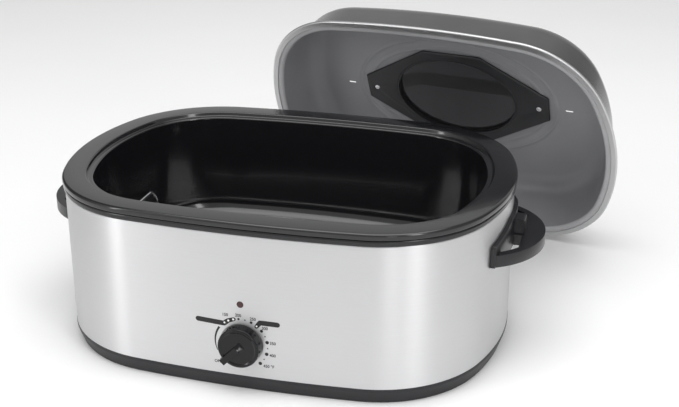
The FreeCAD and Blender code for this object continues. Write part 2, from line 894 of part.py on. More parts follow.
def end_sector(out_inner, out_outer, low, high):
    """Part of a ring round the right end's arc, as wide as the handle."""
    centre, radius = ARCS[0][0], ARCS[0][1]
    outer = cylinder(radius + out_outer, centre + UP * low, UP * (high - low))
    inner = cylinder(radius + out_inner, centre + UP * low, UP * (high - low))
    reach = radius + out_outer
    window = Part.makeBox(reach, 2 * handle_half_width, high - low,
                          Vec(centre.x, -handle_half_width, low))
    return outer.cut(inner).common(window)


def grip_disc(inset, low, high):
    """The handle's outer arc, through its two ends and its furthest point."""
    steel_end = half_length - (end_radius - math.sqrt(end_radius ** 2 - handle_half_width ** 2))
    sagitta = half_length + handle_reach - steel_end
    radius = (handle_half_width ** 2 + sagitta ** 2) / (2 * sagitta)
    centre = Vec(half_length + handle_reach - radius, 0, low)
    disc = cylinder(radius - inset, centre, UP * (high - low))
    outside = Part.makeBox(2 * radius, 2 * (handle_half_width - inset), high - low,
                           Vec(half_length / 2, -(handle_half_width - inset), low))
    body = cylinder(end_radius + skin_gap, ARCS[0][0] + UP * low, UP * (high - low))
    return disc.common(outside).cut(body)


def make_side_handle(end):
    """Moulded handle: curved mounting plate, half-round grip with a band, centre block."""
    shelf_top = handle_low + handle_shelf
    plate = end_sector(skin_gap, skin_gap + handle_plate, handle_low, handle_crest)
    face = extruded([
        (-handle_half_width, handle_low),
        (handle_half_width, handle_low),
        (handle_half_width, handle_shoulder, handle_shoulder_round),
        (handle_crest_half, handle_crest, handle_crest_round),
        (-handle_crest_half, handle_crest, handle_crest_round),
        (-handle_half_width, handle_shoulder, handle_shoulder_round),
    ], lambda p: Vec(half_length / 2, p.x, p.y), Vec(half_length, 0, 0))
    plate = plate.common(face)
    grip = grip_disc(0, handle_low, shelf_top)
    grip = grip.cut(grip_disc(handle_wall, handle_low, shelf_top - handle_web))
    steel_x = half_length + skin_gap
    block = extruded([
        (steel_x - 4, handle_low),
        (half_length + handle_block_reach, handle_low),
        (half_length + handle_block_reach, handle_block_top, handle_block_chamfer),
        (steel_x - 4, handle_block_top),
    ], lambda p: Vec(p.x, -handle_block_half, p.y), Vec(0, 2 * handle_block_half, 0))
    pieces = [block]
    for side in (-1, 1):
        y = side * rib_place - rib_thickness / 2
        pieces.append(Part.makeBox(handle_reach, rib_thickness, rib_depth,
                                   Vec(half_length - 8, y, shelf_top - handle_web - rib_depth + 1)))
        boss = cylinder(boss_radius, Vec(half_length, 0, boss_height), Vec(boss_length, 0, 0))
        pieces.append(around_end(boss, side * boss_angle))
    limit = grip_disc(0, handle_low, handle_block_top + 1)
    inside = Part.makeCompound([piece.common(limit) for piece in pieces])
    handle = plate.fuse([grip] + inside.Solids)
    chord = half_length + slot_chord
    plate_face = cylinder(end_radius + skin_gap + handle_plate, ARCS[0][0] + UP * handle_low,
                          UP * handle_shelf)
    slot_limit = grip_disc(slot_margin, handle_low, shelf_top)
    slot_length = handle_half_width - slot_inner
    for low_y in (slot_inner, -handle_half_width):
        slot = Part.makeBox(chord - half_length / 2, slot_length, handle_shelf,
                            Vec(half_length / 2, low_y, handle_low))
        handle = handle.cut(slot.common(slot_limit).cut(plate_face))
    for side in (-1, 1):
        hole = cylinder(screw_shank + pin_gap, Vec(half_length - 4, 0, boss_height),
                        Vec(boss_length, 0, 0))
        handle = handle.cut(around_end(hole, side * boss_angle))
    handle = handle.removeSplitter()
    handle.rotate(Vec(0, 0, 0), UP, end)
    return handle


def make_handle_screws():
    """Screws from inside the steel into the handles' bosses, two at each end."""
    head_place = half_length - steel - skin_gap
    screw = cylinder(screw_head, Vec(head_place, 0, boss_height), Vec(-screw_head_height, 0, 0))
    screw = screw.fuse(cylinder(screw_shank, Vec(head_place, 0, boss_height),
                                Vec(boss_length - 5.0, 0, 0))).removeSplitter()
    return Part.makeCompound([around_end(screw, turn, end)
                              for end in (0, 180) for turn in (-boss_angle, boss_angle)])


def make_cord_gland():
    """Two-flanged grommet low on the back's left, with a clear bore for the lead."""
    outer = half_width + skin_gap
    inner = half_width - steel - skin_gap
    neck = cylinder(gland_neck, Vec(0, inner - gland_inside, gland_height),
                    Vec(0, outer - inner + gland_inside + gland_outside, 0))
    flange = cylinder(gland_flange, Vec(0, outer, gland_height), Vec(0, gland_outside, 0))
    rim = [edge for edge in flange.Edges
           if edge.BoundBox.YMin > outer + gland_outside - 0.1]
    flange = flange.makeFillet(1.2, rim)
    lock = cylinder(gland_flange, Vec(0, inner, gland_height), Vec(0, -gland_inside, 0))
    gland = neck.fuse([flange, lock])
    bore = cylinder(gland_bore, Vec(0, inner - gland_inside - 1, gland_height),
                    Vec(0, outer - inner + gland_inside + gland_outside + 2, 0))
    return around_back(gland.cut(bore).removeSplitter())


def make_terminal_block():
    """Three-pole block on the tray's floor, at the back."""
    block = Part.makeBox(block_length, block_depth, block_height,
                         Vec(-block_length / 2, block_place, floor_top))
    for i in range(block_poles):
        x = (i - (block_poles - 1) / 2) * pole_pitch
        middle = Vec(x, block_place + block_depth / 2, floor_top + block_height)
        block = block.cut(cylinder(pole_radius, middle, UP * -pole_depth))
    return block


def make_leads():
    """Three insulated leads: two from the block to the thermostat, one up to the heater."""
    start_z = floor_top + block_height / 2
    blade_low = dial_height - thermostat_height / 2 - terminal_length
    rise_y = thermostat_front + thermostat_depth / 2 + terminal_thickness / 2
    leads = []
    for side in (-1, 1):
        x = side * lead_spread
        leads.append(wire_tube([
            Vec(x, block_place, start_z),
            Vec(x, rise_y, start_z),
            Vec(x, rise_y, blade_low),
        ], lead_radius, lead_bend))
    band_y = half_width + well_outer + skin_gap + heater_thickness / 2
    leads.append(wire_tube([
        Vec(0, block_place + block_depth, start_z),
        Vec(0, band_y, start_z),
        Vec(0, band_y, heater_low - skin_gap),
    ], lead_radius, lead_bend))
    return Part.makeCompound(leads)


def make_lid_shell():
    """Pressed lid: rim flange, steep wall, round shoulder, flat panel with oval ridges."""
    flange_edge = lid_edge - 1.2
    wall_foot = flange_edge - lid_flange
    path = [
        (flange_edge, lid_flange_height),
        (wall_foot, lid_flange_height, lid_flange_bend),
        (wall_foot - lid_draft, lid_height, lid_shoulder),
        (-lid_panel_reach - 4, lid_height),
    ]
    shell = ring(sheet_section(path, -lid_sheet))
    shell = shell.fuse(outline_plate(-lid_panel_reach, lid_height, panel_top))
    for step in (0, 1):
        grow = step * ridge_spacing
        ridge = oval_ring(ridge_length - grow + ridge_half, ridge_width - grow + ridge_half,
                          2 * ridge_half, lid_height - ridge_rise, lid_height)
        low_edges = [edge for edge in ridge.Edges if edge.BoundBox.ZMax < lid_height - ridge_rise + 0.01]
        shell = shell.fuse(ridge.makeFillet(ridge_round, low_edges))
    shell = shell.cut(oval(window_length, window_width, lid_height - 5, panel_top + 1))
    for side in (-1, 1):
        middle = side * vent_slot_place
        half = vent_slot_width / 2
        slot = flat_plate([
            (middle - vent_slot_length / 2, -half, half * 0.98),
            (middle + vent_slot_length / 2, -half, half * 0.98),
            (middle + vent_slot_length / 2, half, half * 0.98),
            (middle - vent_slot_length / 2, half, half * 0.98),
        ], lid_height - 5, panel_top + 1)
        shell = shell.cut(slot)
        hole = cylinder(lid_screw_shank + hole_gap, Vec(side * lid_screw_place, 0, lid_height - 5),
                        UP * 8)
        shell = shell.cut(hole)
    return shell.removeSplitter()


def make_lid_bead():
    """Bright rolled bead crimped over the lid's edge."""
    slot_low = lid_flange_height - bead_slot_gap
    slot_high = lid_flange_height + lid_sheet + bead_slot_gap
    slot_end = lid_edge - 1.2 + bead_slot_gap
    inner = lid_edge - bead_width
    return ring([
        (inner, -bead_below, 0.8),
        (lid_edge, -bead_below, bead_round),
        (lid_edge, bead_height - bead_below, bead_round),
        (inner, bead_height - bead_below, 0.6),
        (inner, slot_high),
        (slot_end, slot_high),
        (slot_end, slot_low),
        (inner, slot_low),
    ])


def frame_points(grow=0.0):
    """The long eight-sided outline of the window's frame, inside and outside the lid."""
    tip, tip_half = frame_tip + grow, frame_tip_half + grow / 2
    shoulder, half = frame_shoulder + grow / 2, frame_half_width + grow
    corner = 3.0
    quarter = [(tip, tip_half, corner), (shoulder, half, 12.0)]
    top = quarter + [(-x, y, r) for x, y, r in quarter[::-1]]
    return [(x, -y, r) for x, y, r in top[::-1]] + top[:]


def make_window_frame():
    """Black inner frame: chamfered plate that clamps the window from inside the lid."""
    seat = lid_height - ridge_rise - skin_gap
    low = seat - frame_thickness
    plate = flat_plate(frame_points(), low, seat)
    plate = plate.cut(oval(window_length, window_width, low - 1, seat + 1))
    edges = [edge for edge in plate.Edges if edge.BoundBox.ZMax < low + 0.01]
    plate = plate.makeChamfer(frame_edge, edges)
    collar = oval_ring(window_length, window_width, 2.2, low, panel_top)
    plate = plate.fuse(collar)
    for side in (-1, 1):
        hole = cylinder(lid_screw_shank + hole_gap, Vec(side * lid_screw_place, 0, low - 1), UP * 20)
        pocket = cylinder(lid_screw_head + hole_gap, Vec(side * lid_screw_place, 0, low - 1),
                          UP * (1 + lid_screw_head_height * 0.7))
        plate = plate.cut(hole).cut(pocket)
    return plate.removeSplitter()


def make_window_gasket():
    return oval_ring(window_length + gasket_lap, window_width + gasket_lap, gasket_lap + 3.0,
                     panel_top, panel_top + gasket_thickness)


def make_window_glass():
    low = panel_top + gasket_thickness
    lap = gasket_lap - hole_gap
    return oval(window_length + lap, window_width + lap, low, low + glass_thickness)


def make_lid_handle():
    """Outer frame round the glass with the arched grip over it, one black moulding."""
    low = panel_top
    high = low + bezel_thickness
    glass_top = low + gasket_thickness + glass_thickness
    body = flat_plate(frame_points(-2.0), low, high)
    edges = [edge for edge in body.Edges if edge.BoundBox.ZMin > high - 0.01]
    body = body.makeFillet(2.0, edges)
    body = body.cut(oval(window_length - bezel_lip, window_width - bezel_lip, low, high + 1))
    lap = gasket_lap + hole_gap
    body = body.cut(oval(window_length + lap, window_width + lap, low, glass_top + pin_gap))
    top = high + grip_rise
    path = [
        (-grip_foot, high - grip_sink),
        (-grip_flat, top, 24.0),
        (grip_flat, top, 24.0),
        (grip_foot, high - grip_sink),
    ]
    section = sheet_section(path, -grip_thickness)
    arch = extruded(section, lambda p: Vec(p.x, -grip_half_width, p.y), Vec(0, 2 * grip_half_width, 0))
    long_edges = [edge for edge in arch.Edges if edge.BoundBox.ZMin > high + 2
                  and edge.BoundBox.YLength < 0.01]
    arch = arch.makeFillet(2.5, long_edges)
    body = body.fuse(arch)
    for side in (-1, 1):
        hole = cylinder(lid_screw_shank + pin_gap, Vec(side * lid_screw_place, 0, low - 1),
                        UP * (lid_screw_length + 1))
        body = body.cut(hole)
    return body.removeSplitter()


def make_lid_screws():
    """Two bright screws from inside the lid, through frame and panel, into the handle."""
    seat = lid_height - ridge_rise - skin_gap - frame_thickness + lid_screw_head_height * 0.7
    top = panel_top + lid_screw_length - 2.0
    screws = []
    for side in (-1, 1):
        place = Vec(side * lid_screw_place, 0, seat)
        head = cylinder(lid_screw_head, place, UP * -lid_screw_head_height)
        low_edges = [edge for edge in head.Edges
                     if edge.BoundBox.ZMax < seat - lid_screw_head_height + 0.01]
        head = head.makeFillet(1.0, low_edges)
        shank = cylinder(lid_screw_shank, place, UP * (top - seat))
        screws.append(head.fuse(shank).removeSplitter())
    return Part.makeCompound(screws)


def outline_support(angle):
    """How far the body's outline reaches from its middle in a direction."""
    towards = Vec(math.cos(angle), math.sin(angle), 0)
    for centre, radius, first, last in ARCS[:3]:
        if first <= angle <= last:
            return centre.dot(towards) + radius
    return half_length


def stand_lid(shape):
    """Stand the lid on its long edge behind the body, leaning, its hollow to the front."""
    turn, lean = math.radians(lid_turn), math.radians(lid_lean)
    back = Vec(-math.sin(turn), math.cos(turn), 0)
    round_middle = half_width + lid_edge - bead_round
    round_behind = bead_round - bead_below
    middle_up = round_middle * math.cos(lean) - round_behind * math.sin(lean) + bead_round
    to_edge = round_middle * math.sin(lean) - round_behind * math.cos(lean) + bead_round
    distance = outline_support(math.pi / 2 + turn) + pan_proud + lid_behind + to_edge
    middle_y = (distance - lid_along * back.x) / back.y
    leant = FreeCAD.Rotation(Vec(1, 0, 0), lid_lean - 90)
    turned = FreeCAD.Rotation(UP, lid_turn)
    moved = shape.copy()
    moved.Placement = FreeCAD.Placement(Vec(lid_along, middle_y, middle_up),
                                        turned.multiply(leant))
    return moved


def main():
    parts = {
        "base_tray": make_base_tray(),
        "rubber_feet": make_rubber_feet(),
        "base_screws": make_base_screws(),
        "support_posts": make_support_posts(),
        "heat_shield": make_heat_shield(),
        "steel_housing": make_housing(),
        "collar_ring": make_collar(),
        "heating_well": make_well(),
        "heater_band": make_heater_band(),
        "insulation_blanket": make_blanket(),
        "thermostat_body": make_thermostat(),
        "thermostat_bracket": make_thermostat_bracket(),
        "thermostat_nut": make_thermostat_nut(),
        "thermostat_shaft": make_shaft(),
        "control_knob": make_knob(),
        "lamp_lens": make_lamp_lens(),
        "lamp_body": make_lamp_body(),
        "right_handle": make_side_handle(0),
        "left_handle": make_side_handle(180),
        "handle_screws": make_handle_screws(),
        "cord_gland": make_cord_gland(),
        "terminal_block": make_terminal_block(),
        "inner_leads": make_leads(),
        "roasting_pan": make_pan(),
        "roasting_rack": make_rack(),
        "rack_feet": make_rack_feet(),
        "rack_loops": make_rack_loops(),
        "lid_shell": stand_lid(make_lid_shell()),
        "lid_bead": stand_lid(make_lid_bead()),
        "window_frame": stand_lid(make_window_frame()),
        "window_gasket": stand_lid(make_window_gasket()),
        "window_glass": stand_lid(make_window_glass()),
        "lid_handle": stand_lid(make_lid_handle()),
        "lid_screws": stand_lid(make_lid_screws()),
    }
    os.makedirs("parts", exist_ok=True)
    for name, shape in parts.items():
        box = shape.BoundBox
        print(name, len(shape.Solids), shape.isValid(), round(shape.Volume),
              [round(v, 1) for v in (box.XMin, box.YMin, box.ZMin, box.XMax, box.YMax, box.ZMax)])
        shape.exportStep("parts/" + name + ".step")


main()
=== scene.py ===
import math

import bmesh
import bpy
from mathutils import Matrix, Vector


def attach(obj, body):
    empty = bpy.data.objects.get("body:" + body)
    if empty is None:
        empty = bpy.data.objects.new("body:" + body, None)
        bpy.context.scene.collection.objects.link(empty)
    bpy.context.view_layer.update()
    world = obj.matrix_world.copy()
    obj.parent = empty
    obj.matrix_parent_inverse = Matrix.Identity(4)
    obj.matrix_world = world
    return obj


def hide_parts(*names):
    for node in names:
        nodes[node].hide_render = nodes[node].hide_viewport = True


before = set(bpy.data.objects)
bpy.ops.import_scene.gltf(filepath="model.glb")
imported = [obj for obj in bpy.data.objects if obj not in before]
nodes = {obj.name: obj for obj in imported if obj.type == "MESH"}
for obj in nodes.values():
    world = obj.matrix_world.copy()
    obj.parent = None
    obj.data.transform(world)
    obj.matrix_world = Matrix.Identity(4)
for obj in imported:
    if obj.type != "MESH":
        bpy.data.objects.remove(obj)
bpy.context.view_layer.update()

# ---------------------------------------------------------------------------------------
# The studio: a pale floor, a room with brighter and darker stretches of wall, and soft boxes.
# The camera stands to the right of the dial and above the rim, at 62 mm on a 36 mm frame.
# ---------------------------------------------------------------------------------------


def linear(hex_colour):
    """An sRGB hex colour as linear red, green and blue, with full alpha."""
    made = []
    for i in (0, 2, 4):
        value = int(hex_colour[i:i + 2], 16) / 255
        made.append(value / 12.92 if value <= 0.04045 else ((value + 0.055) / 1.055) ** 2.4)
    return (*made, 1.0)


def add(tree, kind, inputs=None, **settings):
    """Adds a shader node, with its settings, socket values and incoming links."""
    made = tree.nodes.new(kind)
    for name, value in settings.items():
        setattr(made, name, value)
    for name, value in (inputs or {}).items():
        socket = made.inputs[name]
        if isinstance(value, bpy.types.NodeSocket):
            tree.links.new(value, socket)
        else:
            socket.default_value = value
    return made


def ramp_of(tree, fac, stops):
    """A colour ramp with (place, hex colour) stops."""
    made = add(tree, "ShaderNodeValToRGB", {"Fac": fac})
    band = made.color_ramp
    while len(band.elements) < len(stops):
        band.elements.new(0.5)
    for element, (place, colour) in zip(band.elements, stops):
        element.position = place
        element.color = linear(colour)
    return made.outputs["Color"]


def finish_of(name, **sockets):
    """A new material with one principled shader; gives the material, its tree and the shader."""
    made = bpy.data.materials.new(name)
    made.use_nodes = True
    tree = made.node_tree
    shader = next(n for n in tree.nodes if n.type == "BSDF_PRINCIPLED")
    for socket, value in sockets.items():
        shader.inputs[socket.replace("_", " ")].default_value = value
    return made, tree, shader


def place_in(tree, stretch=(1.0, 1.0, 1.0)):
    """The place on the piece, in metres, stretched along each axis."""
    where = add(tree, "ShaderNodeTexCoord").outputs["Object"]
    return add(tree, "ShaderNodeMapping", {"Vector": where, "Scale": stretch}).outputs["Vector"]


def grain(tree, size_mm, detail=2.0, stretch=(1.0, 1.0, 1.0), roughness=0.5):
    """A noise pattern whose blobs are about size_mm across."""
    made = add(tree, "ShaderNodeTexNoise",
               {"Vector": place_in(tree, stretch), "Scale": 1000 / size_mm, "Detail": detail,
                "Roughness": roughness})
    return made.outputs["Fac"]


def aimed(place, target):
    """The turn of a lamp or camera at a place that looks at a target, upright."""
    return (Vector(target) - Vector(place)).to_track_quat("-Z", "Y").to_euler()


camera = bpy.data.objects.new("camera", bpy.data.cameras.new("camera"))
camera.location = (0.4375, -1.3731, 0.7520)
camera.rotation_euler = aimed(camera.location, (0.08575, -0.07743, 0.20283))
camera.data.sensor_width = 36.0
camera.data.lens = 62.2
bpy.context.collection.objects.link(camera)
bpy.context.scene.camera = camera
bpy.context.scene.view_settings.view_transform = "Standard"

floor_reach, floor_drop = 30, 0.0002
floor_corners = [(floor_reach * x, floor_reach * y, 0)
                 for x, y in ((-1, -1), (1, -1), (1, 1), (-1, 1))]
floor_mesh = bpy.data.meshes.new("floor")
floor_mesh.from_pydata(floor_corners, [], [(0, 1, 2, 3)])
floor = bpy.data.objects.new("floor", floor_mesh)
floor.location.z = -floor_drop
bpy.context.collection.objects.link(floor)
# Matt white paint: gives soft shadows and a bright, faintly uneven ground.
floor_paint, tree, shader = finish_of("matt_studio_floor", Roughness=0.9)
mottle = ramp_of(tree, grain(tree, 400), [(0.3, "f2f2f2"), (0.7, "f4f4f4")])
tree.links.new(mottle, shader.inputs["Base Color"])
floor_mesh.materials.append(floor_paint)

room = bpy.data.worlds.new("white_room")
bpy.context.scene.world = room
room.use_nodes = True
tree = room.node_tree
towards = add(tree, "ShaderNodeSeparateXYZ",
              {"Vector": add(tree, "ShaderNodeTexCoord").outputs["Generated"]})
leftwards = add(tree, "ShaderNodeMath", {0: towards.outputs["Y"], 1: -1.0}, operation="MULTIPLY")
round_room = add(tree, "ShaderNodeMath", {0: towards.outputs["X"], 1: leftwards.outputs[0]},
                 operation="ARCTAN2")
share = add(tree, "ShaderNodeMapRange", {"Value": round_room.outputs[0], "From Min": -math.pi,
                                         "From Max": math.pi})
# The stops run from behind the oven, past its left end, its front and its right end.
walls = ramp_of(tree, share.outputs[0], [
    (0.00, "c0c0c0"), (0.08, "c0c0c0"), (0.13, "505050"), (0.22, "747474"), (0.30, "b4b4b4"),
    (0.35, "dcdcdc"), (0.375, "ffffff"), (0.40, "f4f4f4"), (0.43, "c6c6c6"), (0.50, "c4c4c4"),
    (0.59, "b0b0b0"), (0.635, "fcfcfc"), (0.68, "bcbcbc"), (0.80, "b0b0b0"), (0.87, "606060"),
    (0.93, "c0c0c0"), (1.00, "c0c0c0")])
tree.links.new(walls, tree.nodes["Background"].inputs["Color"])
tree.nodes["Background"].inputs["Strength"].default_value = 1.2


def soft_box(name, place, target, width, height, watts):
    """A rectangular soft light, with its place and size in metres, aimed at a point."""
    lamp = bpy.data.lights.new(name, "AREA")
    lamp.shape = "RECTANGLE"
    lamp.size, lamp.size_y, lamp.energy = width, height, watts
    made = bpy.data.objects.new(name, lamp)
    made.location = place
    made.rotation_euler = aimed(place, target)
    bpy.context.collection.objects.link(made)


soft_box("overhead_box", (0.2, -0.3, 2.8), (0.1, 0, 0), 3.0, 2.6, 60)
soft_box("left_box", (-1.75, -1.80, 0.9), (-0.25, -0.1, 0.1), 0.30, 1.7, 8)
soft_box("right_box", (1.7, -1.5, 1.4), (0.1, 0, 0.1), 0.4, 1.6, 9)
soft_box("key_box", (1.00, -2.00, 0.52), (0.0, -0.22, 0.07), 0.25, 0.25, 1.8)

# ---------------------------------------------------------------------------------------
# Base tray: black mineral-filled phenolic, moulded, with a raised vented floor, a standing
# ring and a ledge that the steel wrap stands on.  It keeps its own solid.
# ---------------------------------------------------------------------------------------


def bump_to(tree, shader, height, depth_mm):
    """Joins a height pattern to the shader as a bump of a real depth."""
    bump = add(tree, "ShaderNodeBump", {"Height": height, "Distance": depth_mm / 1000})
    tree.links.new(bump.outputs["Normal"], shader.inputs["Normal"])


def between(tree, fac, low, high):
    """A pattern brought to run from low to high."""
    made = add(tree, "ShaderNodeMapRange", {"Value": fac, "To Min": low, "To Max": high})
    return made.outputs[0]


def dress(finish, *names):
    """Gives CAD nodes that keep their own shape a material."""
    for name in names:
        nodes[name].data.materials.clear()
        nodes[name].data.materials.append(finish)


def moulded(name, colour, light_colour, grain_mm, rough_low, rough_high, depth_mm, **sockets):
    """A moulded plastic: spark-eroded grain and slow changes of colour and gloss.

    The grain is drawn several times as coarse as the real one, which is too fine to show.
    """
    made, tree, shader = finish_of(name, **sockets)
    fine = grain(tree, grain_mm, 3.0)
    slow = grain(tree, 60, 2.0)
    tree.links.new(ramp_of(tree, slow, [(0.35, colour), (0.65, light_colour)]),
                   shader.inputs["Base Color"])
    tree.links.new(between(tree, slow, rough_low, rough_high), shader.inputs["Roughness"])
    bump_to(tree, shader, fine, depth_mm)
    return made


# Phenolic of the tray: near black, dulled by the moulding's fine grain.
tray_phenolic = moulded("phenolic_tray", "1d1d20", "232326", 0.5, 0.40, 0.50, 0.03, IOR=1.6,
                        Specular_IOR_Level=0.3)
dress(tray_phenolic, "base_tray")

# ---------------------------------------------------------------------------------------
# Underside fittings: rubber feet, zinc-plated posts and screws, and a bright plate that
# keeps the heat off the tray.
# ---------------------------------------------------------------------------------------
# Nitrile rubber: dead black, with no shine.
foot_rubber = moulded("nitrile_rubber", "1c1c1c", "232323", 0.8, 0.7, 0.85, 0.05, IOR=1.5)
dress(foot_rubber, "rubber_feet")


def plated(name, colour, rough, grain_mm, stretch=(1.0, 1.0, 1.0), depth_mm=0.01):
    """A bare or plated metal with fine tool marks and slightly uneven gloss."""
    made, tree, shader = finish_of(name, Metallic=1.0, Base_Color=linear(colour))
    marks = grain(tree, grain_mm, 3.0, stretch)
    tree.links.new(between(tree, marks, rough - 0.06, rough + 0.08), shader.inputs["Roughness"])
    bump_to(tree, shader, marks, depth_mm)
    return made


# Zinc plate: cool grey, with small uneven glints.
zinc_plate = plated("zinc_plated_steel", "b4b4ae", 0.35, 1.5)
dress(zinc_plate, "base_screws", "support_posts", "handle_screws", "thermostat_bracket",
      "thermostat_nut", "thermostat_shaft")
# Rolled aluminium: bright, with long faint rolling marks.
bright_plate = plated("rolled_aluminium", "d2d2d4", 0.3, 2.0, (1, 12, 12))
dress(bright_plate, "heat_shield")

# ---------------------------------------------------------------------------------------
# Steel housing: one wrap of stainless sheet, brushed round the body and folded in at the top.
# Its outline has bowed sides and ends, joined by tighter corners, all in mm.
# ---------------------------------------------------------------------------------------
half_length, half_width = 290.0, 210.0
side_radius, end_radius, corner_radius = 1620.0, 309.0, 150.0


def outline_arcs():
    """Centre, radius, first and last angle of the eight arcs of the body's outline, in mm.

    The end's arc turns into the corner's at angle e and the corner's into the side's at s.
    """
    side_y, end_x = half_width - side_radius, half_length - end_radius
    to_side, to_end = side_radius - corner_radius, end_radius - corner_radius
    apart = math.hypot(end_x, side_y)
    along = (to_side ** 2 - to_end ** 2 + apart ** 2) / (2 * apart)
    across = math.sqrt(to_side ** 2 - along ** 2)
    ux, uy = end_x / apart, -side_y / apart
    x, y = along * ux + across * uy, side_y + along * uy - across * ux
    e, s, h = math.atan2(y, x - end_x), math.atan2(y - side_y, x), math.pi
    return [(end_x, 0, end_radius, -e, e), (x, y, corner_radius, e, s),
            (0, side_y, side_radius, s, h - s), (-x, y, corner_radius, h - s, h - e),
            (-end_x, 0, end_radius, h - e, h + e), (-x, -y, corner_radius, h + e, h + s),
            (0, -side_y, side_radius, h + s, 2 * h - s),
            (x, -y, corner_radius, 2 * h - s, 2 * h - e)]


ARCS = outline_arcs()
ARC_STEPS = (22, 34, 26, 34, 22, 34, 26, 34)
FRONT_ARC = 6


def outline(out, up):
    """Points of the body's outline moved outwards by out, at height up, both in mm."""
    ring = []
    for (x, y, radius, first, last), steps in zip(ARCS, ARC_STEPS):
        for i in range(steps):
            angle = first + (last - first) * i / steps
            ring.append(((x + (radius + out) * math.cos(angle)) / 1000,
                         (y + (radius + out) * math.sin(angle)) / 1000, up / 1000))
    return ring


def rounded(points, steps=6):
    """A line of (a, b, radius) points with its corners rounded, where they have a radius."""
    line = []
    for i, point in enumerate(points):
        here = Vector(point[:2])
        if len(point) < 3 or i in (0, len(points) - 1):
            line.append(here)
            continue
        back = (Vector(points[i - 1][:2]) - here).normalized()
        ahead = (Vector(points[i + 1][:2]) - here).normalized()
        half = back.angle(ahead) / 2
        centre = here + (back + ahead).normalized() * (point[2] / math.sin(half))
        start = here + back * (point[2] / math.tan(half)) - centre
        end = here + ahead * (point[2] / math.tan(half)) - centre
        for k in range(steps + 1):
            turn = start.angle(end) * k / steps
            aside = (end - start * (start.dot(end) / start.length_squared)).normalized()
            line.append(centre + start * math.cos(turn) + aside * start.length * math.sin(turn))
    return line


def skin(name, rings, lids=(False, False)):
    """A mesh through rings of equally many points, with a lid on its first or last if asked."""
    count = len(rings[0])
    points = [p for ring in rings for p in ring]
    faces = []
    for low in range(len(rings) - 1):
        high = low + 1
        for i in range(count):
            j = (i + 1) % count
            faces.append((low * count + i, low * count + j, high * count + j, high * count + i))
    if lids[0]:
        faces.append(tuple(range(count))[::-1])
    if lids[1]:
        faces.append(tuple((len(rings) - 1) * count + i for i in range(count)))
    mesh = bpy.data.meshes.new(name)
    mesh.from_pydata(points, [], faces)
    mesh.validate()
    made = bpy.data.objects.new(name, mesh)
    bpy.context.collection.objects.link(made)
    return made


def bake_in(piece):
    """Applies a piece's modifiers to its mesh."""
    bpy.context.view_layer.update()
    settled = piece.evaluated_get(bpy.context.evaluated_depsgraph_get())
    piece.data = bpy.data.meshes.new_from_object(settled)
    piece.data.name = piece.name
    piece.modifiers.clear()


def shade(piece, degrees=35):
    """Smooth shading, with edges sharper than the angle kept."""
    piece.data.shade_smooth()
    piece.data.set_sharp_from_angle(angle=math.radians(degrees))


def sheet_metal(piece, thickness_mm, side):
    """Thickens a skin to its sheet's gauge, to one side of its drawn face."""
    solid = piece.modifiers.new("gauge", "SOLIDIFY")
    solid.thickness = thickness_mm / 1000
    solid.offset = side
    solid.use_even_offset = True
    bake_in(piece)


# Each point is mm outwards from the outline, mm up, and the corner's radius in mm.
housing_line = rounded([(0, 21), (0, 206.5, 1.5), (-6, 206.5)])
housing = skin("steel_wrap", [outline(p.x, p.y) for p in housing_line])
sheet_metal(housing, 0.6, -1)
shade(housing)
# Satin stainless: pale, with hairlines that draw each light into an upright band.  They lie
# 0.4 mm apart, coarser than real ones, so that they show.
stainless, tree, shader = finish_of("satin_stainless", Metallic=1.0, Anisotropic=0.85,
                                    Anisotropic_Rotation=0.25)
hairlines = grain(tree, 40, 3.0, (1, 1, 90), 0.6)
cloudy = grain(tree, 140, 2.0)
tree.links.new(ramp_of(tree, hairlines, [(0.3, "d5d5d6"), (0.7, "d9d9da")]),
               shader.inputs["Base Color"])
uneven = add(tree, "ShaderNodeMath", {0: between(tree, hairlines, 0.39, 0.45),
                                      1: between(tree, cloudy, -0.02, 0.02)}, operation="ADD")
tree.links.new(uneven.outputs[0], shader.inputs["Roughness"])
grain_way = add(tree, "ShaderNodeTangent", direction_type="RADIAL", axis="Z")
tree.links.new(grain_way.outputs["Tangent"], shader.inputs["Tangent"])
bump_to(tree, shader, hairlines, 0.002)
housing.data.materials.append(stainless)
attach(housing, "body")
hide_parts("steel_housing")

# The wrap's ends meet on the back's left, in a flat lap from the tray to the collar.
lap_x, lap_half = -120.0, 5.0
lap_low, lap_high = 21.6, 204.5


def wall_y(x, out):
    """The steel's y in mm on the dial side at x, moved outwards by out."""
    return ARCS[FRONT_ARC][1] - math.sqrt((side_radius + out) ** 2 - x ** 2)


lap_section = [(lap_half, -0.1), (lap_half - 0.4, 0.5), (0.4 - lap_half, 0.5), (-lap_half, -0.1)]
lap_rings = [[((lap_x + along) / 1000, -wall_y(lap_x + along, out) / 1000, height / 1000)
              for along, out in lap_section] for height in (lap_low, lap_high)]
steel_lap = skin("steel_lap", lap_rings, lids=(True, True))
steel_lap.data.materials.append(stainless)
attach(steel_lap, "body")

# ---------------------------------------------------------------------------------------
# Collar: black phenolic ring that caps the steel and carries the well and the pan, with a
# shadow gap under its rounded lip.
# ---------------------------------------------------------------------------------------
# Phenolic of the collar: polished black, so that its lip shows a thin bright line.
collar_phenolic = moulded("phenolic_collar", "131315", "17171a", 0.6, 0.18, 0.26, 0.01, IOR=1.6,
                          Specular_IOR_Level=0.4)
dress(collar_phenolic, "collar_ring")

# ---------------------------------------------------------------------------------------
# Heating well, heater and blanket: aluminised steel pressing, flat element in woven glass
# tape round it, and a wrap of glass wool.
# ---------------------------------------------------------------------------------------
# Aluminised steel: dull silver, with soft cloudy spangles.
aluminised = plated("aluminised_steel", "a9acae", 0.42, 6.0)
dress(aluminised, "heating_well")


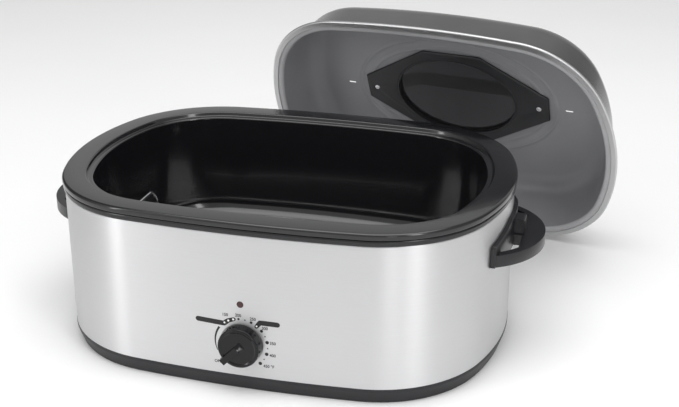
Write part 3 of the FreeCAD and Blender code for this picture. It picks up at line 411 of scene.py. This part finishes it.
def woven(name, colour, light_colour, thread_mm):
    """Glass-fibre cloth: two sets of threads and a soft nap."""
    made, tree, shader = finish_of(name, Roughness=0.9, Sheen_Weight=0.2)
    where = place_in(tree)
    # At this scale a wave repeats after about two threads, as a plain weave does.
    scale = 1000 / thread_mm / 6.28
    up = add(tree, "ShaderNodeTexWave", {"Vector": where, "Scale": scale}, bands_direction="Z")
    over = add(tree, "ShaderNodeTexWave", {"Vector": where, "Scale": scale},
               bands_direction="DIAGONAL")
    both = add(tree, "ShaderNodeMath", {0: up.outputs["Fac"], 1: over.outputs["Fac"]},
               operation="MULTIPLY")
    tree.links.new(ramp_of(tree, both.outputs[0], [(0.1, colour), (0.9, light_colour)]),
                   shader.inputs["Base Color"])
    bump_to(tree, shader, both.outputs[0], 0.2)
    return made


# Glass tape and glass wool: straw and cream, matt, with an open weave.
dress(woven("glass_tape", "b3a78c", "d8cfb8", 1.2), "heater_band")
dress(woven("glass_wool", "cfc8ae", "e8e3cf", 2.5), "insulation_blanket")

# ---------------------------------------------------------------------------------------
# Thermostat, terminal block and leads: pressed steatite blocks and wires in glass sleeving,
# inside the body behind the dial and the gland.
# ---------------------------------------------------------------------------------------
# Steatite: warm white, with the low gloss of a glaze.
steatite = moulded("glazed_steatite", "d6cfc0", "ded8ca", 1.0, 0.35, 0.5, 0.02, IOR=1.6)
dress(steatite, "thermostat_body", "terminal_block")
# Glass sleeving: off-white and matt.
sleeve = moulded("glass_sleeving", "d9d6cc", "e6e4dc", 0.8, 0.6, 0.75, 0.05, IOR=1.5)
dress(sleeve, "inner_leads")

# ---------------------------------------------------------------------------------------
# Dial print: black ink on the steel round the knob.  Heights and places are in mm from the
# knob's axis; angles run clockwise from the top.
# ---------------------------------------------------------------------------------------
dial_height = 64.5
ink_lift, ink_thick, ink_under = 0.03, 0.05, 0.02
# Screen ink: flat black and white, faintly uneven, with crisp edges.
ink, tree, shader = finish_of("screen_ink", Roughness=0.5, IOR=1.5)
tree.links.new(ramp_of(tree, grain(tree, 3), [(0.3, "0c0c0d"), (0.7, "151516")]),
               shader.inputs["Base Color"])
white_ink, tree, shader = finish_of("white_screen_ink", Roughness=0.5, IOR=1.5)
tree.links.new(ramp_of(tree, grain(tree, 3), [(0.3, "e6e6e4"), (0.7, "f0f0ee")]),
               shader.inputs["Base Color"])


def on_wall(x, z, lift):
    """A place given in mm from the knob's axis, on the steel's front."""
    return (x / 1000, wall_y(x, lift) / 1000, (dial_height + z) / 1000)


def printed(name, shapes, finish, lift=ink_lift):
    """Ink patches: each shape is a list of faces in (x, z) mm from the knob's axis."""
    mesh = bmesh.new()
    for shape in shapes:
        for face in shape:
            mesh.faces.new([mesh.verts.new(on_wall(x, z, lift + ink_thick)) for x, z in face])
    bmesh.ops.remove_doubles(mesh, verts=mesh.verts, dist=0.001 / 1000)
    for face in mesh.faces:
        face.normal_update()
        if face.normal.y > 0:
            face.normal_flip()
    under = bmesh.ops.extrude_face_region(mesh, geom=mesh.faces[:])
    for vertex in [v for v in under["geom"] if isinstance(v, bmesh.types.BMVert)]:
        vertex.co.y += ink_under / 1000
    bmesh.ops.recalc_face_normals(mesh, faces=mesh.faces)
    made = bpy.data.objects.new(name, bpy.data.meshes.new(name))
    mesh.to_mesh(made.data)
    mesh.free()
    bpy.context.collection.objects.link(made)
    made.data.materials.append(finish)
    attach(made, "body")


def polar(radius, degrees):
    """A place at a radius and an angle, as (x, z) from the knob's axis."""
    return (radius * math.sin(math.radians(degrees)), radius * math.cos(math.radians(degrees)))


def dot(x, z, radius):
    """A round dot, as a fan of 20 faces."""
    rim = [(x + radius * math.cos(a * math.pi / 10), z + radius * math.sin(a * math.pi / 10))
           for a in range(20)]
    return [[(x, z), rim[a - 1], rim[a]] for a in range(20)]


def ribbon(stations, round_ends=True):
    """A band along (x, z, half width) stations, in faces short enough to follow the steel."""
    line = []
    for (x, z, half), (next_x, next_z, next_half) in zip(stations, stations[1:]):
        steps = math.ceil(math.hypot(next_x - x, next_z - z) / 3.0)
        line += [(x + (next_x - x) * k / steps, z + (next_z - z) * k / steps,
                  half + (next_half - half) * k / steps) for k in range(steps)]
    line.append(stations[-1])
    sections = []
    for i, (x, z, half) in enumerate(line):
        before = Vector(line[max(i - 1, 0)][:2])
        after = Vector(line[min(i + 1, len(line) - 1)][:2])
        sections.append((Vector((x, z)), (after - before).normalized(), half))
    if round_ends:
        (start, start_way, start_half), (end, end_way, end_half) = sections[0], sections[-1]
        for degrees in (25, 50, 72, 88):
            ahead, narrow = math.sin(math.radians(degrees)), math.cos(math.radians(degrees))
            sections.insert(0, (start - start_way * start_half * ahead, start_way,
                                start_half * narrow))
            sections.append((end + end_way * end_half * ahead, end_way, end_half * narrow))
    sides = [(place + Vector((-way.y, way.x)) * half, place - Vector((-way.y, way.x)) * half)
             for place, way, half in sections]
    return [[tuple(left), tuple(right), tuple(next_right), tuple(next_left)]
            for (left, right), (next_left, next_right) in zip(sides, sides[1:])]


# Dots at the numbers, small dots between some of them, and a line that swells towards the top.
first_mark, mark_step, mark_ring = -4.5, 28.0, 33.0
marks = [dot(*polar(mark_ring, first_mark + mark_step * i), radius)
         for i, radius in enumerate((1.5, 1.7, 2.0, 2.3, 2.3, 2.3))]
marks += [dot(*polar(mark_ring, first_mark + mark_step * i), 0.9) for i in (0.5, 2.5, 3.5, 4.5)]
swell = [(-113 + 58 * k / 16, 0.35 + (k / 16) ** 0.7) for k in range(17)]
marks.append(ribbon([(*polar(33.4, a), half) for a, half in swell], round_ends=False))
# Two bare flags, bent at the dial, with light dots in them.
flag_half = 3.3
marks.append(ribbon([(-54.4, 26.4, flag_half), (-21.2, 24.9, flag_half), (-15.8, 29.2, 2.9),
                     (-8.6, 31.9, 2.5)]))
marks.append(ribbon([(19.6, 25.6, 2.5), (24.2, 31.4, flag_half), (45.5, 31.2, flag_half)]))
printed("dial_marks", marks, ink)
printed("dial_light_dots", [dot(-20.6, 25.9, 1.3), dot(-15.6, 29.1, 1.4), dot(-9.3, 31.6, 1.4),
                            dot(19.9, 26.2, 1.2)], white_ink, ink_lift + ink_thick)


# The numbers' height in mm and its share of the font's size, how far they are narrowed, how
# much each stroke is thickened, and half the thickness of their ink.
number_height, height_share, number_squeeze = 3.9, 0.7, 0.92
stroke_gain, number_half_thick = 0.13, 0.01


def lettered(name, words, x, z):
    """Printed numbers: a line of text set on the steel, centred on a place, in mm."""
    line = bpy.data.curves.new(name, "FONT")
    line.body = words
    line.align_x = "CENTER"
    line.align_y = "CENTER"
    line.size = number_height / height_share
    line.offset = stroke_gain
    line.extrude = number_half_thick
    line.resolution_u = 3
    text = bpy.data.objects.new(name + "_line", line)
    bpy.context.collection.objects.link(text)
    bpy.context.view_layer.update()
    settled = text.evaluated_get(bpy.context.evaluated_depsgraph_get())
    mesh = bpy.data.meshes.new_from_object(settled)
    # Joined up, so that the few faces of the font that point inwards can be turned.
    joined = bmesh.new()
    joined.from_mesh(mesh)
    bmesh.ops.remove_doubles(joined, verts=joined.verts, dist=0.0001)
    bmesh.ops.recalc_face_normals(joined, faces=joined.faces)
    joined.to_mesh(mesh)
    joined.free()
    for vertex in mesh.vertices:
        vertex.co = Vector(on_wall(x + vertex.co.x * number_squeeze, z + vertex.co.y,
                                   ink_lift + ink_thick + vertex.co.z))
    bpy.data.objects.remove(text)
    mesh.name = name
    made = bpy.data.objects.new(name, mesh)
    bpy.context.collection.objects.link(made)
    mesh.materials.clear()
    mesh.materials.append(ink)
    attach(made, "body")


for words, (x, z) in (("150", (-19.5, 36.5)), ("200", (-2.9, 37.6)), ("250", (15.4, 34.9)),
                      ("300", (30.0, 24.4)), ("350", (39.4, 5.4)), ("400", (39.0, -11.1)),
                      ("450 °F", (33.8, -26.6)), ("OFF", (-31.0, -28.4))):
    lettered("dial_" + "".join(c for c in words if c.isalnum()).lower(), words, x, z)

# ---------------------------------------------------------------------------------------
# Knob: glossy black ABS with a shallow dish and a raised pointer, moulded in one piece and
# pushed on the thermostat's shaft.
# ---------------------------------------------------------------------------------------
# ABS of the knob: deep glossy black, with tight highlights on its edges.
knob_abs = moulded("glossy_abs", "0b0b0d", "101013", 0.7, 0.09, 0.15, 0.003, IOR=1.53,
                   Specular_IOR_Level=0.3)
dress(knob_abs, "control_knob")


def soften(name, width_mm):
    """Rounds the edges of a moulded node that are sharper than 35 degrees, as its mould does."""
    piece = nodes[name]
    weld = piece.modifiers.new("join", "WELD")
    weld.merge_threshold = 0.02 / 1000
    plain = piece.modifiers.new("plain_faces", "DECIMATE")
    plain.decimate_type = "DISSOLVE"
    plain.angle_limit = math.radians(1.0)
    edge = piece.modifiers.new("edge_round", "BEVEL")
    edge.width = width_mm / 1000
    edge.segments = 3
    edge.limit_method = "ANGLE"
    edge.angle_limit = math.radians(35)
    edge.use_clamp_overlap = True
    edge.harden_normals = True


soften("control_knob", 0.8)

# ---------------------------------------------------------------------------------------
# Lamp: dark red lens of moulded polycarbonate, snapped into the steel above the knob, with a
# neon lamp clipped behind it.
# ---------------------------------------------------------------------------------------
# Red polycarbonate: dark wine red while the lamp is off, clear and glossy.
lens_red, tree, shader = finish_of("red_polycarbonate", Roughness=0.12, IOR=1.58,
                                   Transmission_Weight=0.35)
tree.links.new(ramp_of(tree, grain(tree, 4), [(0.3, "360b0a"), (0.7, "47100e")]),
               shader.inputs["Base Color"])
dress(lens_red, "lamp_lens")
# Lamp glass: pale and clear.
neon_glass, tree, shader = finish_of("neon_glass", Roughness=0.1, IOR=1.5, Transmission_Weight=0.6)
tree.links.new(ramp_of(tree, grain(tree, 4), [(0.3, "d8cbbb"), (0.7, "e8ddd0")]),
               shader.inputs["Base Color"])
dress(neon_glass, "lamp_body")

# ---------------------------------------------------------------------------------------
# Side handles and cord gland: black phenolic mouldings.  The handles have softened edges and
# are held by screws from inside the steel.
# ---------------------------------------------------------------------------------------
# Phenolic of the handles: black satin, a little glossier than the tray.
handle_phenolic = moulded("phenolic_handle", "17171a", "1c1c20", 0.6, 0.3, 0.4, 0.02, IOR=1.6,
                          Specular_IOR_Level=0.35)
dress(handle_phenolic, "right_handle", "left_handle", "cord_gland")
soften("right_handle", 1.0)
soften("left_handle", 1.0)

# ---------------------------------------------------------------------------------------
# Roasting pan: steel pressing with black vitreous enamel, glossy and faintly rippled, a
# curled lip, a wide flange and a step below it.
# ---------------------------------------------------------------------------------------
lip_under, rim_top, step_top, pan_floor = 214.5, 223.0, 217.5, 70.0
pan_line = rounded([(-4.3, lip_under), (3.0, lip_under, 2.2), (3.0, rim_top, 3.5),
                    (-27.0, rim_top, 2.2), (-29.0, step_top, 2.2), (-36.0, step_top, 2.4),
                    (-44.5, pan_floor, 25.0), (-78.0, pan_floor)], 8)
pan_rings = [outline(p.x, p.y) for p in pan_line]
pan_rings += [outline(out, pan_floor) for out in (-100, -120, -140)]
pan = skin("enamel_pan", pan_rings, lids=(False, True))
sheet_metal(pan, 1.0, -1)
shade(pan, 50)
# Vitreous enamel: wet-looking black, with a slow ripple and a few pale flecks.
pan_enamel, tree, shader = finish_of("black_vitreous_enamel", IOR=1.55, Coat_Weight=0.2,
                                     Coat_Roughness=0.05)
ripple = grain(tree, 9, 1.0)
fleck = grain(tree, 0.9, 0.0)
tree.links.new(ramp_of(tree, fleck, [(0.0, "121214"), (0.74, "141416"), (0.78, "2a2a2c")]),
               shader.inputs["Base Color"])
tree.links.new(between(tree, grain(tree, 45), 0.10, 0.17), shader.inputs["Roughness"])
bump_to(tree, shader, ripple, 0.03)
pan.data.materials.append(pan_enamel)
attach(pan, "pan")
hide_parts("roasting_pan")

# ---------------------------------------------------------------------------------------
# Roasting rack: welded steel wire, chromium plated, on four feet, with a lifting loop at each
# end.  It lies loose in the pan.
# ---------------------------------------------------------------------------------------
# Chromium plate: mirror bright along each wire.
chrome_wire = plated("chromium_plate", "dcdcde", 0.12, 5.0)
dress(chrome_wire, "roasting_rack", "rack_feet", "rack_loops")

# ---------------------------------------------------------------------------------------
# Lid: one steel pressing, charcoal gloss enamel outside and satin grey inside, with two
# oval ridges round the window, vent slots, and a rolled bead at its edge.
# ---------------------------------------------------------------------------------------
# The lid is made lying on its rim, in mm, and lid_stand then puts it where it stands.
lid_stand = (Matrix.Translation((0.138, 0.295169, 0.178047))
             @ Matrix.Rotation(math.radians(-11.0), 4, "Z")
             @ Matrix.Rotation(math.radians(24.0 - 90.0), 4, "X"))


def oval_ring(half_x, half_y, up):
    """Points on an oval, one for each point of the body's outline, in the same directions.

    The directions are those of the outline drawn 110 mm inwards, which lies near the ovals.
    """
    ring = []
    for x, y, _ in outline(-110, 0):
        angle = math.atan2(y / half_y, x / half_x)
        ring.append((half_x * math.cos(angle) / 1000, half_y * math.sin(angle) / 1000, up / 1000))
    return ring


def ridge(half_x, half_y, half_band, deep, level):
    """Rings across a pressed ridge that stands deep mm into the lid."""
    made = []
    for k in range(9):
        share = k / 8
        grow = half_band * (1 - 2 * share)
        made.append(oval_ring(half_x + grow, half_y + grow,
                              level - deep * (1 - math.cos(2 * math.pi * share)) / 2))
    return made


rim_up, top_up = 0.5, 88.0
vent_x, vent_half, screw_x = 180.0, 4.7, 134.0
lid_line = rounded([(-16.2, rim_up), (-31.7, rim_up, 3.5), (-40.7, top_up, 30.0),
                    (-78.0, top_up)], 8)
lid_rings = [outline(p.x, p.y) for p in lid_line]
lid_rings += ridge(162, 108, 4.0, 1.4, top_up) + ridge(145, 91, 4.0, 1.4, top_up)
lid_rings += [oval_ring(120, 84, top_up), oval_ring(98, 73, top_up)]
lid = skin("lid_pressing", lid_rings)
for face in lid.data.polygons:
    face.flip()
sheet_metal(lid, 0.8, 1)


def punch(piece, name, points, low, high):
    """Cuts a hole of the given (x, y) outline through a piece, between two heights, all in mm."""
    mesh = bmesh.new()
    floor_face = mesh.faces.new([mesh.verts.new((x / 1000, y / 1000, low / 1000))
                                 for x, y in points])
    raised = bmesh.ops.extrude_face_region(mesh, geom=[floor_face])
    for vertex in [v for v in raised["geom"] if isinstance(v, bmesh.types.BMVert)]:
        vertex.co.z = high / 1000
    bmesh.ops.recalc_face_normals(mesh, faces=mesh.faces)
    tool = bpy.data.objects.new(name, bpy.data.meshes.new(name))
    mesh.to_mesh(tool.data)
    mesh.free()
    bpy.context.collection.objects.link(tool)
    hole = piece.modifiers.new(name, "BOOLEAN")
    hole.object = tool
    hole.operation = "DIFFERENCE"
    hole.solver = "EXACT"
    bake_in(piece)
    bpy.data.objects.remove(tool)


def long_hole(x, half_length_mm, radius):
    """The outline of a hole with round ends, along the lid's length, in mm."""
    hole = []
    for middle, start in ((x + half_length_mm, -90), (x - half_length_mm, 90)):
        for turned in range(0, 181, 20):
            angle = math.radians(start + turned)
            hole.append((middle + radius * math.cos(angle), radius * math.sin(angle)))
    return hole


below_top, above_top = 80, 95
for side in (-1, 1):
    punch(lid, "vent_punch", long_hole(side * vent_x, vent_half, 1.3), below_top, above_top)
    punch(lid, "screw_punch", long_hole(side * screw_x, 0.0, 2.1)[:-1], below_top, above_top)
shade(lid, 50)
# The order of the lid's three finishes, which are added below.  The level faces near the
# bottom are the rim's, and the others are sorted by the way they look.
INSIDE, OUTSIDE, RIM = 0, 1, 2
level_share, rim_zone = 0.5, 0.003
for face in lid.data.polygons:
    level = abs(face.normal.z) > level_share
    if level and face.center.z < rim_zone:
        face.material_index = RIM
    elif level:
        face.material_index = OUTSIDE if face.normal.z > 0 else INSIDE
    else:
        faces_out = face.normal.to_2d().dot(face.center.to_2d()) > 0
        face.material_index = OUTSIDE if faces_out else INSIDE
lid.data.transform(lid_stand)

# Gloss enamel outside: charcoal, with broad soft reflections.
lid_outer, tree, shader = finish_of("charcoal_gloss_enamel", IOR=1.55, Coat_Weight=0.3,
                                    Coat_Roughness=0.06)
tree.links.new(ramp_of(tree, grain(tree, 80), [(0.3, "3c3b3b"), (0.7, "464545")]),
               shader.inputs["Base Color"])
tree.links.new(between(tree, grain(tree, 40), 0.14, 0.22), shader.inputs["Roughness"])
bump_to(tree, shader, grain(tree, 9, 1.0), 0.02)
# Coating inside: mid grey satin, which lights up along the rounded shoulder.
lid_inner, tree, shader = finish_of("satin_grey_coating", IOR=1.5)
tree.links.new(ramp_of(tree, grain(tree, 120), [(0.3, "8c8c8f"), (0.7, "949497")]),
               shader.inputs["Base Color"])
tree.links.new(between(tree, grain(tree, 0.6, 3.0), 0.26, 0.36), shader.inputs["Roughness"])
bump_to(tree, shader, grain(tree, 0.8, 2.0), 0.006)
# Coating on the rim: paler grey, which sets the edge off from the hollow.
rim_grey = moulded("pale_grey_rim_coating", "a6a6a8", "aeaeb0", 0.8, 0.30, 0.40, 0.004, IOR=1.5)
for finish in (lid_inner, lid_outer, rim_grey):
    lid.data.materials.append(finish)
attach(lid, "lid")
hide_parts("lid_shell")

# Aluminium of the bead: a bright line round the lid.
bead_metal = plated("rolled_aluminium_bead", "c4c4c5", 0.32, 12.0, depth_mm=0.002)
dress(bead_metal, "lid_bead")

# ---------------------------------------------------------------------------------------
# Window: tempered smoked glass on a silicone gasket, clamped between a black phenolic
# plate inside the lid and the handle's frame outside it, by two screws.
# ---------------------------------------------------------------------------------------
# Phenolic of the window's frame: black satin with soft edges.
frame_phenolic = moulded("phenolic_frame", "1a1a1d", "202024", 0.6, 0.32, 0.42, 0.02, IOR=1.6)
dress(frame_phenolic, "window_frame", "lid_handle")
soften("window_frame", 0.7)
soften("lid_handle", 1.0)
# Smoked glass: almost black, with a clear mirror-like face.
smoked, tree, shader = finish_of("smoked_glass", Roughness=0.03, IOR=1.52, Transmission_Weight=0.7)
tree.links.new(ramp_of(tree, grain(tree, 30), [(0.3, "2a2a2c"), (0.7, "303033")]),
               shader.inputs["Base Color"])
dress(smoked, "window_glass")
# Silicone: matt black.
silicone = moulded("silicone_gasket", "1d1d1d", "242424", 0.6, 0.5, 0.6, 0.02, IOR=1.45)
dress(silicone, "window_gasket")
# Chrome of the screws: a bright dot with a dark cross.
screw_chrome = plated("chromed_screw", "e2e2e4", 0.24, 8.0, depth_mm=0.002)

# Each screw is a pan head with a cross recess, on a plain shank, in mm: radius and height.
head_low, head_top, shank_end = 82.14, 84.34, 96.3
screw_line = rounded([(3.0, head_low), (4.2, head_low, 1.0), (4.2, head_top), (2.0, head_top),
                      (2.0, shank_end)])
arm, arm_half, recess_start, recess_end = 2.7, 0.55, 81.0, 83.3
cross = [(arm, arm_half), (arm_half, arm_half), (arm_half, arm)]
cross += [(-y, x) for x, y in cross] + [(-x, -y) for x, y in cross] + [(y, -x) for x, y in cross]
for side, which in ((-1, "left"), (1, "right")):
    screw_rings = [[((side * screw_x + p.x * math.cos(a * math.pi / 16)) / 1000,
                     p.x * math.sin(a * math.pi / 16) / 1000, p.y / 1000) for a in range(32)]
                   for p in screw_line]
    screw = skin("lid_screw_" + which, screw_rings, lids=(True, True))
    punch(screw, "cross_punch", [(side * screw_x + x, y) for x, y in cross], recess_start,
          recess_end)
    shade(screw)
    screw.data.transform(lid_stand)
    screw.data.materials.append(screw_chrome)
    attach(screw, "lid")
    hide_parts("lid_screws")
